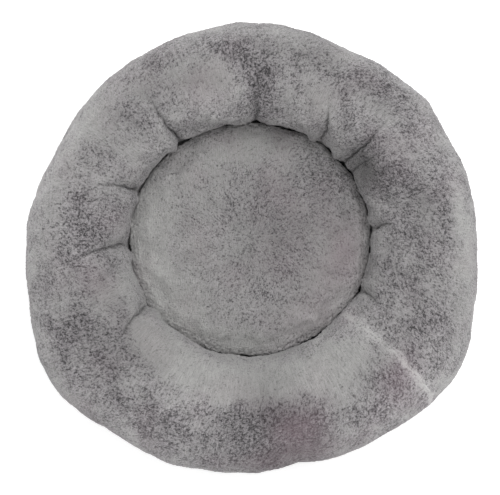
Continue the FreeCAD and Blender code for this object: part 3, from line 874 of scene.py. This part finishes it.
def ring_cover(sizes):
    """The ring's plush cover as a closed piece, with its tucks, panel join, pile and hidden underside."""
    turn = all_round(5.4)
    section = ring_section(turn)
    coarse = stuffed_ring(sizes, turn, *section)
    radius, height, run = section
    fine_turn = np.arange(0, len(turn), len(turn) / FINE_TURNS)
    places = np.concatenate([np.linspace(0, TOP_ROWS - 1, FINE_TOP), np.arange(TOP_ROWS, SECTION_ROWS)])
    points = refine(coarse, fine_turn, places)
    flat_place = refine(np.stack([radius, run], -1), fine_turn, places)
    radius, run = flat_place[..., 0], flat_place[..., 1]
    turn = fine_turn * FULL_TURN / len(turn)
    shown = np.zeros(len(places))
    row = np.arange(FINE_TOP)
    shown[:FINE_TOP] = ease(row / 5.0) * ease((FINE_TOP - 1 - row) / 5.0)
    waver = 1.6 * cloud(points, 11.0, sizes.seed + 7) + 2.0 * cloud(points, 29.0, sizes.seed + 8)
    crease = crease_depth(turn, run, radius, waver)
    join = panel_join(turn, radius, run, waver)
    nap = ring_nap(points, turn, radius, run, join, sizes.seed)
    normals = grid_normals(points) * -inward_sign(points)
    points = points + normals * (shown * (join - crease))[..., None]
    grain = round_points(150.0, run / GRAIN_LENGTH, turn[:, None])
    edge = np.exp(-(((run + 12.0) / 16.0) ** 2))
    points, values = pile(points, normals, nap, sizes, shown, edge)
    blush = patches(turn, radius, RING_BLUSH) + 0.25 * cloud(points, 55.0, sizes.seed + 9)
    values["blush"] = np.clip(blush, 0, 1)
    # Painted light and shade: the spots above make the pile paler or darker.
    values["tone_and_painted_light"] *= 1.0 + patches(turn, radius, PAINTED_LIGHT_AND_SHADE)
    # Paler along the panel join, and darker in the creases: painted shade where the cloth folds in.
    values["tone_and_painted_light"] *= 1.0 + 0.24 * join - 0.55 * np.clip(crease / 4.0, 0, 1)
    quads, _, _ = grid_quads(*points.shape[:2], True, True)
    return put_mesh("bolster_plush", points.reshape(-1, 3), quads, values=values, vectors={"grain": grain})


def inward_sign(points):
    """-1 or 1, whichever makes the grid's normals point into a ring that is closed both ways."""
    normals = grid_normals(points)
    outward = np.einsum("ijk,ijk->", normals, points - points.mean(1, keepdims=True))
    return -1.0 if outward > 0 else 1.0


def ring_nap(points, turn, radius, run, join, seed):
    """How flat the ring's pile is brushed, from 0 to 1."""
    spots = patches(turn, radius, BRUSHED) - patches(turn, radius, RUFFLED)
    patchy = 0.36 * cloud(points, 34.0, seed + 11) + 0.26 * cloud(points, 13.0, seed + 12)
    nap = np.clip(0.42 + spots + patchy, 0, 1)
    under = ease((run - 235.0) / 30.0)
    return np.clip(np.maximum(nap * (1 - 0.4 * under), 0.8 * join), 0, 1)


# ---- the loose cushion --------------------------------------------------------------------------


def cushion_section(crown):
    """Radius and height down the cushion: a low dome, a tight shoulder, a straight side and a flat base."""
    inner = PAD_EDGE - PAD_SHOULDER
    out = np.linspace(0.0, 1.0, 60)[1:]
    dome = np.stack([inner * out, crown - PAD_FALL * out**2.4], -1)
    bend = np.linspace(0.0, math.pi / 2, 12)[1:]
    drop = crown - PAD_FALL - PAD_SHOULDER
    corner = np.stack([inner + PAD_SHOULDER * np.sin(bend), drop + PAD_SHOULDER * np.cos(bend)], -1)
    side = np.stack([PAD_EDGE - 1.2 * np.linspace(0, 1, 8)[1:], np.linspace(drop, PAD_SEAM, 8)[1:]], -1)
    bend = np.linspace(0.0, math.pi / 2, 9)[1:]
    lower = np.stack([PAD_FLAT + 26.0 * np.cos(bend), PAD_SEAM - (PAD_SEAM - PAD_FOOT) * np.sin(bend)], -1)
    base = np.stack([np.linspace(PAD_FLAT, 0.0, 12)[1:-1], np.full(10, PAD_FOOT)], -1)
    return np.concatenate([dome, corner, side, lower, base])


def pole_triangles(rows, columns):
    """Triangles that close a grid of rings at both ends, on two points put after the grid's own."""
    ring = np.arange(rows)
    after = (ring + 1) % rows
    count = np.full(rows, rows * columns)
    return np.concatenate([
        np.stack([ring * columns, count, after * columns], -1),
        np.stack([(ring + 1) * columns - 1, (after + 1) * columns - 1, count + 1], -1)])


def poled(name, points, top, bottom, values=None, vectors=None, flat=False):
    """A closed piece from rings of points between a top and a bottom point.

    A flat piece has a UV map in metres, seen from above.
    """
    rows, columns = points.shape[:2]
    quads, _, _ = grid_quads(rows, columns, True, False)
    triangles = pole_triangles(rows, columns)
    points = np.concatenate([points.reshape(-1, 3), [top, bottom]])
    uv = None
    if flat:
        above = points[:, :2] * MM
        uv = np.concatenate([above[quads.ravel()], above[triangles.ravel()]])
    spread = {k: np.concatenate([v.ravel(), [v[:, 0].mean(), v[:, -1].mean()]])
              for k, v in (values or {}).items()}
    fans = {k: np.concatenate([v.reshape(-1, 3), v[:, 0].mean(0)[None], v[:, -1].mean(0)[None]])
            for k, v in (vectors or {}).items()}
    return put_mesh(name, points, quads, triangles, uv, spread, fans)


def stuffed_pad(sizes):
    """The cushion's plush as a coarse grid, moved back with the well and then stuffed, and its bottom."""
    section = cushion_section(sizes.cushion_crown / MM)
    turn = np.arange(PAD_TURNS) * FULL_TURN / PAD_TURNS
    radius, height = section[:, 0] + 0 * turn[:, None], section[:, 1] + 0 * turn[:, None]
    pucker = 0.6 * np.sin(13 * turn + 1.0) + 0.5 * np.sin(22 * turn + 2.0) + 3.0 * np.cos(2 * turn)
    pucker = pucker + 3.0 * bell(turn, 234, 32)
    lifted = ease((height - 8.0) / 40.0)
    radius = radius + pucker[:, None] * radius / 155.0 * lifted
    coarse = round_points(radius, height, turn[:, None])
    coarse[..., 1] += sizes.well_shift / MM * lifted
    rows, columns = coarse.shape[:2]
    quads, _, _ = grid_quads(rows, columns, True, False)
    poles = np.array([[0, coarse[:, 0, 1].mean(), section[0, 1]], [0, 0, PAD_FOOT]])
    sewn = np.zeros((rows, columns))
    sewn[:, -PAD_HELD_ROWS:] = 1.0
    held = np.concatenate([sewn.ravel(), [0.0, 1.0]])
    start = np.concatenate([coarse.reshape(-1, 3), poles])
    limit = np.full(len(start), PAD_PUFF)
    limit[:-2] = (PAD_PUFF + PAD_TOP_PUFF * ease((height - 60.0) / 14.0)).ravel()
    triangles = pole_triangles(rows, columns)
    stuffed = stuff(start, quads, triangles, held, 1.5, limit[:, None], frames=14)
    return stuffed[:-2].reshape(coarse.shape), stuffed[-1]


def cushion_pad(sizes):
    """The loose cushion's plush top with its stuffing, as one closed piece."""
    coarse, bottom = stuffed_pad(sizes)
    rows, columns = coarse.shape[:2]
    fine_turn = np.arange(0, rows, rows / FINE_PAD_TURNS)
    lower = np.arange(PAD_TOP_ROWS + 1, columns)
    places = np.concatenate([np.linspace(0, PAD_TOP_ROWS, FINE_PAD_TOP), lower])
    points = refine(coarse, fine_turn, places, False)
    turn = fine_turn * FULL_TURN / rows
    radius = np.hypot(points[..., 0], points[..., 1] - sizes.well_shift / MM)
    cover = ease((FINE_PAD_TOP - np.arange(len(places))) / 6.0)
    spots = patches(turn, radius, CUSHION_BRUSHED)
    patchy = 0.46 * cloud(points, 30.0, sizes.seed + 21) + 0.28 * cloud(points, 12.0, sizes.seed + 22)
    nap = np.clip(0.70 + spots + 0.5 * patchy, 0, 1)
    normals = grid_normals(points, False)
    normals = normals * (1.0 if normals[:, 10, 2].mean() > 0 else -1.0)
    grain = points / PAD_GRAIN
    edge = ease((radius - 146.0) / 6.0)
    points, values = pile(points, normals, nap, sizes, cover, edge)
    blush = patches(turn, radius, CUSHION_BLUSH) + 0.25 * cloud(points, 45.0, sizes.seed + 23)
    values["blush"] = np.clip(blush, 0, 1)
    # Painted light and shade on the cushion from the spots above, multiplied into its tone.
    values["tone_and_painted_light"] *= 0.96 + patches(turn, radius, CUSHION_PAINTED_LIGHT_AND_SHADE)
    return poled("cushion_plush", points, points[:, 0].mean(0), bottom, values, {"grain": grain})


def cushion_underside(sizes):
    """The cushion's cloth underside: a thin closed shell from its flat bottom up to the seam."""
    turn = all_round(4.0)
    bend = np.linspace(math.pi / 2, 0.0, 12)
    outer = np.concatenate([
        np.stack([np.linspace(4.0, 120.0, 24), np.full(24, WELL_FLOOR_TOP + 0.3)], -1),
        np.stack([154.0 - 29.0 * (1 - np.cos(bend)), 35.0 - 31.5 * np.sin(bend)], -1)])
    inner = outer[::-1] + np.array([-0.6, 1.2])
    inner[:, 0] = np.maximum(inner[:, 0], 4.0)
    radius, height = np.concatenate([outer, inner]).T
    crinkle = 0.5 * np.sin(31 * turn)[:, None] * ease((radius - 118) / 30)
    points = round_points(radius + crinkle, height, turn[:, None])
    points[..., 1] += sizes.well_shift / MM * ease((height - 8.0) / 40.0)
    return poled("cushion_underside", points, [0, 0, outer[0, 1]], [0, 0, inner[-1, 1]], flat=True)


def tube_round(name, radius, height, thick, turn, closed, sides=12):
    """A cord round the bed: a circle carried round the upright axis."""
    around = np.arange(sides) * FULL_TURN / sides
    section = np.stack([radius + thick * np.cos(around), height + thick * np.sin(around)], -1)
    return swept(name, np.broadcast_to(section, (len(turn), sides, 2)), turn, closed)


# ---- operators ----------------------------------------------------------------------------------


class PETBED_OT_ring(Operator):
    """Make the ring's stuffed plush cover"""

    bl_idname = "petbed.ring"
    bl_label = "Ring"

    def execute(self, context):
        scene = context.scene
        made = ring_cover(scene.bed_sizes)
        dress(made, plush_finish("ring_plush", scene.bed_colours), "bolster")
        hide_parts("bolster_cover", "bolster_bag", "bolster_filling")
        return {"FINISHED"}


class PETBED_OT_cushion(Operator):
    """Make the loose cushion: plush top, cloth underside and piping"""

    bl_idname = "petbed.cushion"
    bl_label = "Cushion"

    def execute(self, context):
        sizes, colours = context.scene.bed_sizes, context.scene.bed_colours
        pad = cushion_pad(sizes)
        dress(pad, plush_finish("cushion_plush", colours), "cushion")
        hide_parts("cushion_top_panel", "cushion_filling")
        under = cushion_underside(sizes)
        lining = weave_finish("cushion_lining", colours.lining, sizes.thread_pitch, 0.8)
        dress(under, lining, "cushion")
        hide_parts("cushion_bottom_panel")
        piping = tube_round("cushion_seam_piping", 153.0, 35.0, PIPING / 2, all_round(4.0), True)
        piping.data.transform(Matrix.Translation((0.0, 0.75 * sizes.well_shift, 0.0)))
        finish = weave_finish("cushion_piping_cloth", colours.piping, 0.8 * sizes.thread_pitch, 0.85)
        dress(piping, finish, "cushion")
        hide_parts("cushion_piping")
        return {"FINISHED"}


class PETBED_OT_base(Operator):
    """Make the base cloth, its rim, the well's floor, the welt and the piping, and finish the grip dots"""

    bl_idname = "petbed.base"
    bl_label = "Base"

    def execute(self, context):
        sizes, colours = context.scene.bed_sizes, context.scene.bed_colours
        cloth = weave_finish("base_cloth", colours.base_cloth, sizes.thread_pitch, 0.62, 0.45)
        sheet = flat_disc("base_cloth", "base_sheet")
        dress(sheet, cloth, "bolster")
        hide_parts("base_sheet")
        rim = base_rim()
        dress(rim, cloth, "bolster")
        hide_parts("base_rim")
        lining = weave_finish("well_lining", colours.lining, sizes.thread_pitch, 0.8)
        floor = flat_disc("well_lining", "well_floor")
        dress(floor, lining, "bolster")
        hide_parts("well_floor")
        cord = weave_finish("piping_cloth", colours.piping, 0.8 * sizes.thread_pitch, 0.85)
        low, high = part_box("inner_welt")
        thick = (high[2] - low[2]) / 2 / MM
        welt = tube_round("inner_welt_cord", reach_mm("inner_welt") - thick, low[2] / MM + thick, thick,
                          all_round(4.0), True)
        dress(welt, lining, "bolster")
        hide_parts("inner_welt")
        radius, height = flank_place(-PIPING / 2, PIPING / 2 - ZIP_HALF_WIDTH)
        turn = spans(ZIP_LAST, ZIP_FIRST + FULL_TURN, 4.0)
        piping = tube_round("outer_piping", radius, height, PIPING / 2, turn, False)
        dress(piping, cord, "bolster")
        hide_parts("rim_piping")
        dress_node("grip_dots", hard_finish("grip_rubber", colours.rubber, 0.75, 0.0, 900.0, 0.0002))
        return {"FINISHED"}


def flat_disc(name, node):
    """A flat round panel in a node's place, with a soft edge, closed above and below."""
    turn = all_round(5.0)
    radius = reach_mm(node)
    out = np.concatenate([np.linspace(0.02, 0.985, 26), [0.996]]) * radius
    low, high = (corner[2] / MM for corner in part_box(node))
    middle, half = (low + high) / 2, (high - low) / 2
    lift = np.full(27, half)
    lift[-1] = 0.7 * half
    above = np.stack([out, middle + lift], -1)
    edge = np.array([[radius, middle]])
    below = np.stack([out[::-1], (middle - lift)[::-1]], -1)
    section = np.concatenate([above, edge, below])
    points = round_points(section[:, 0], section[:, 1], turn[:, None])
    return poled(name, points, [0, 0, middle + half], [0, 0, middle - half], flat=True)


def base_rim():
    """The band of base cloth up the outer flank, with a rolled upper edge and slight puckers."""
    turn = all_round(4.0)
    top = flank_place(0.0, -ZIP_HALF_WIDTH)[1] - 0.2
    rise = np.linspace(FLOOR_TOP, top, 9)
    outer = np.stack([flank_foot(RIM_DEPTH, rise), rise], -1)
    inner = np.stack([flank_foot(RIM_DEPTH + 1.1, rise), rise], -1)[::-1]
    section = np.concatenate([outer, inner]) + 0 * turn[:, None, None]
    pucker = 0.35 * np.sin(61 * turn) + 0.25 * np.sin(97 * turn + 1.0)
    bow = np.sin(np.linspace(0, math.pi, 9))
    section[..., 0] += pucker[:, None] * np.concatenate([bow, bow])
    return swept("base_rim_cloth", section, turn, True)


class PETBED_OT_zip(Operator):
    """Make the zip's tapes, coils and stitching, and finish its metal"""

    bl_idname = "petbed.zip"
    bl_label = "Zip"

    def execute(self, context):
        sizes, colours = context.scene.bed_sizes, context.scene.bed_colours
        tape = weave_finish("zip_tape", colours.tape, 0.7 * sizes.thread_pitch, 0.85)
        nylon = hard_finish("zip_nylon", colours.coil, 0.42, 0.0, 700.0, 0.00004)
        thread = hard_finish("sewing_thread", colours.thread, 0.8, 0.0, 2500.0, 0.0001)
        for side, word in ((1, "upper"), (-1, "lower")):
            made = zip_tape(f"zip_tape_{word}_cloth", side, spans(ZIP_FIRST, ZIP_LAST, 4.0))
            dress(made, tape, "bolster")
            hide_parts(f"zip_tape_{word}")
            coil = zip_coil(f"zip_coil_{word}_nylon", side)
            dress(coil, nylon, "bolster")
            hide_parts(f"zip_coil_{word}")
            row = stitch_row(f"zip_stitches_{word}", side * 6.6, sizes.stitch_pitch / MM)
            dress(row, thread, "bolster")
        metal = hard_finish("zip_metal", colours.metal, 0.34, 1.0, 260.0, 0.00003)
        for node in ("zip_end_stops", "zip_slider", "zip_pull_tab"):
            dress_node(node, metal)
        return {"FINISHED"}


def zip_tape(name, side, turn):
    """One tape of the zip: a flat band from beside the slit to behind the cloth it is sewn to."""
    up = np.array([0.7, 3.0, 5.5, 8.3, 11.0, 11.0, 8.3, 5.5, 3.0, 0.7]) * side
    out = np.array([-1.6, -1.6, -1.6, -1.6, -2.0, -2.5, -2.4, -2.4, -2.4, -2.4])
    places = np.stack(flank_place(out, up), -1)
    return swept(name, np.broadcast_to(places, (len(turn), 10, 2)), turn, False)


def tubes(name, points):
    """Tubes from a grid of points each, along and round, closed at their ends on a point."""
    count, steps, sides = points.shape[:3]
    size = steps * sides
    quads, _, _ = grid_quads(steps, sides, False, True)
    base = size * np.arange(count)[:, None]
    quads = (quads[None] + base[:, :, None]).reshape(-1, 4)
    tips = np.stack([points[:, 0].mean(1), points[:, -1].mean(1)], 1)
    every = np.concatenate([points.reshape(-1, 3), tips.reshape(-1, 3)])
    j = np.arange(sides)
    tip = size * count + 2 * np.arange(count)[:, None]
    head = np.stack([base + j, tip + 0 * j, base + np.roll(j, -1)], -1)
    tail = np.stack([base + size - sides + np.roll(j, -1), tip + 1 + 0 * j, base + size - sides + j], -1)
    caps = np.concatenate([head, tail], 1).reshape(-1, 3)
    return put_mesh(name, every, quads, caps[:, ::-1])


def zip_coil(name, side):
    """A nylon coil: a thin tube along a helix that goes round the bed beside the zip's slit."""
    pitch, helix, wire, steps, sides = 1.5, 0.98, 0.32, 10, 5
    first, last = ZIP_FIRST + math.radians(1.2), ZIP_LAST - math.radians(1.2)
    radius, height = flank_place(-0.3, side * 2.0)
    turns = int((last - first) * radius / pitch)
    t = np.arange(turns * steps + 1) / steps * FULL_TURN
    around = np.linspace(first, last, len(t))
    outward = round_points(math.cos(FLANK_TILT), -math.sin(FLANK_TILT), around)
    upward = round_points(math.sin(FLANK_TILT), math.cos(FLANK_TILT), around)
    spoke = np.cos(t)[:, None] * outward + np.sin(t)[:, None] * upward
    line = round_points(radius, height, around) + helix * spoke
    tangent = np.gradient(line, axis=0)
    tangent /= np.linalg.norm(tangent, axis=1, keepdims=True)
    other = np.cross(tangent, spoke)
    ring = np.arange(sides)[:, None] * FULL_TURN / sides
    points = line[:, None] + wire * (np.cos(ring) * spoke[:, None] + np.sin(ring) * other[:, None])
    return tubes(name, points[None])


def stitch_row(name, up, pitch):
    """A row of stitches on the zip's tape: each a short thread that dips into the cloth at both ends."""
    count = int((ZIP_LAST - ZIP_FIRST) * BED_RADIUS * 0.94 / pitch)
    middle = np.linspace(ZIP_FIRST, ZIP_LAST, count + 2)[1:-1, None, None]
    way = np.linspace(-1, 1, 6)[:, None]
    ring = np.arange(5) * FULL_TURN / 5
    radius, height = flank_place(-RIM_DEPTH - 0.02, up)
    thick = 0.28 * np.sqrt(np.clip(1.02 - way**2, 0.02, None))
    turn = middle + way * 0.36 * pitch / radius
    out = 0.22 * (1 - way**2) + thick * np.cos(ring)
    side = thick * np.sin(ring)
    return tubes(name, round_points(
        radius + out * math.cos(FLANK_TILT) + side * math.sin(FLANK_TILT),
        height - out * math.sin(FLANK_TILT) + side * math.cos(FLANK_TILT), turn))


class PETBED_OT_label(Operator):
    """Make the blank care label"""

    bl_idname = "petbed.label"
    bl_label = "Label"

    def execute(self, context):
        colours = context.scene.bed_colours
        made = care_label()
        satin = weave_finish("label_satin", colours.label, 0.5 * MM, 0.5, 0.4, 0.2)
        dress(made, satin, "bolster")
        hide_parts("care_label")
        return {"FINISHED"}


def care_label():
    """A ribbon folded at its lower end and sewn at its upper, with a slight curl in both plies."""
    loop = np.linspace(0, 1, 40)
    down = np.where(loop < 0.5, loop * 2, 2 - loop * 2)
    along = -6.5 - 14.8 * down
    out = 0.15 + 0.84 * ease((loop - 0.46) / 0.08) + 1.6 * down**2
    width = np.linspace(-11.9, 11.9, 13)[:, None]
    radius, height = flank_place(np.concatenate([out + 0.12, out[::-1] - 0.12]),
                                 np.concatenate([along, along[::-1]]))
    radius = radius + 0.125 * np.cos(width / 6.0)
    cos, sin = math.cos(LABEL_ANGLE), math.sin(LABEL_ANGLE)
    points = np.stack([radius * cos - width * sin, radius * sin + width * cos, height + 0 * radius], -1)
    rows, columns = points.shape[:2]
    quads, ci, cj = grid_quads(rows, columns, False, True)
    uv = np.stack([ci * 2.0 * MM, cj * 0.75 * MM], -1).reshape(-1, 2)
    k = np.arange(columns // 2 - 1)
    strip = np.stack([k, k + 1, columns - 2 - k, columns - 1 - k], -1)
    ends = np.concatenate([strip, strip[:, ::-1] + (rows - 1) * columns])
    uv = np.concatenate([uv, np.zeros((ends.size, 2))])
    return put_mesh("care_label_ribbon", points.reshape(-1, 3), np.concatenate([quads, ends]), None, uv)


class PETBED_OT_stage(Operator):
    """Make the floor, the lights and the camera"""

    bl_idname = "petbed.stage"
    bl_label = "Stage"

    def execute(self, context):
        scene = context.scene
        scene.view_settings.view_transform = "Standard"
        world = bpy.data.worlds.new("studio")
        world.use_nodes = True
        sky = world.node_tree.nodes["Background"].inputs
        sky["Color"].default_value = (1.0, 1.0, 1.0, 1.0)
        sky["Strength"].default_value = 0.95
        scene.world = world
        half = 20000.0
        corners = np.array([[-half, -half, 0], [half, -half, 0], [half, half, 0], [-half, half, 0]])
        floor = put_mesh("floor", corners, np.array([[0, 1, 2, 3]]))
        paint = Finish("pale_floor", (0.9, 0.9, 0.9), 0.9, Specular_IOR_Level=0.0,
                       Emission_Color=(1.0, 1.0, 1.0, 1.0), Emission_Strength=0.35)
        grit = paint.noise(paint.place(), 3.0, 2.0, 0.5)
        paint.paint(paint.blend(grit, (0.90, 0.90, 0.90), (0.92, 0.92, 0.92)))
        floor.data.materials.append(paint.material)
        for name, place, side, power in (
            ("overhead", (0.5, 0.8, 2.4), 1.4, 30.0),
            ("fill", (-1.8, -1.2, 2.0), 1.8, 2.0),
        ):
            lamp = bpy.data.lights.new(name, "AREA")
            lamp.shape = "SQUARE"
            lamp.size = side
            lamp.energy = power
            made = bpy.data.objects.new(name, lamp)
            made.location = place
            aim = -made.location
            made.rotation_euler = aim.to_track_quat("-Z", "Y").to_euler()
            scene.collection.objects.link(made)
        lens = bpy.data.cameras.new("camera")
        lens.sensor_width = SENSOR_WIDTH
        lens.lens = SENSOR_WIDTH * (EYE_HEIGHT - BELLY * MM) / VIEW_WIDTH
        camera = bpy.data.objects.new("camera", lens)
        camera.location = (0.0, 0.0, EYE_HEIGHT)
        scene.collection.objects.link(camera)
        scene.camera = camera
        return {"FINISHED"}


class PETBED_PT_panel(Panel):
    """Lists the bed's sizes, colours and pieces"""

    bl_idname = "PETBED_PT_panel"
    bl_label = "Pet cushion bed"
    bl_space_type = "VIEW_3D"
    bl_region_type = "UI"
    bl_category = "Pet bed"

    def draw(self, context):
        layout = self.layout
        for group in (context.scene.bed_sizes, context.scene.bed_colours):
            for key in group.bl_rna.properties.keys():
                if key not in ("rna_type", "name"):
                    layout.prop(group, key)
        for operator in OPERATORS:
            layout.operator(operator.bl_idname)


OPERATORS = (
    PETBED_OT_stage,
    PETBED_OT_ring,
    PETBED_OT_cushion,
    PETBED_OT_base,
    PETBED_OT_zip,
    PETBED_OT_label,
)
CLASSES = (BedSizes, BedColours, *OPERATORS, PETBED_PT_panel)


def register():
    for cls in CLASSES:
        bpy.utils.register_class(cls)
    bpy.types.Scene.bed_sizes = PointerProperty(type=BedSizes)
    bpy.types.Scene.bed_colours = PointerProperty(type=BedColours)


def unregister():
    del bpy.types.Scene.bed_colours
    del bpy.types.Scene.bed_sizes
    for cls in reversed(CLASSES):
        bpy.utils.unregister_class(cls)


def main():
    """Makes every piece in order."""
    register()
    for operator in OPERATORS:
        group, word = operator.bl_idname.split(".")
        getattr(getattr(bpy.ops, group), word)()


if __name__ == "__main__":
    main()
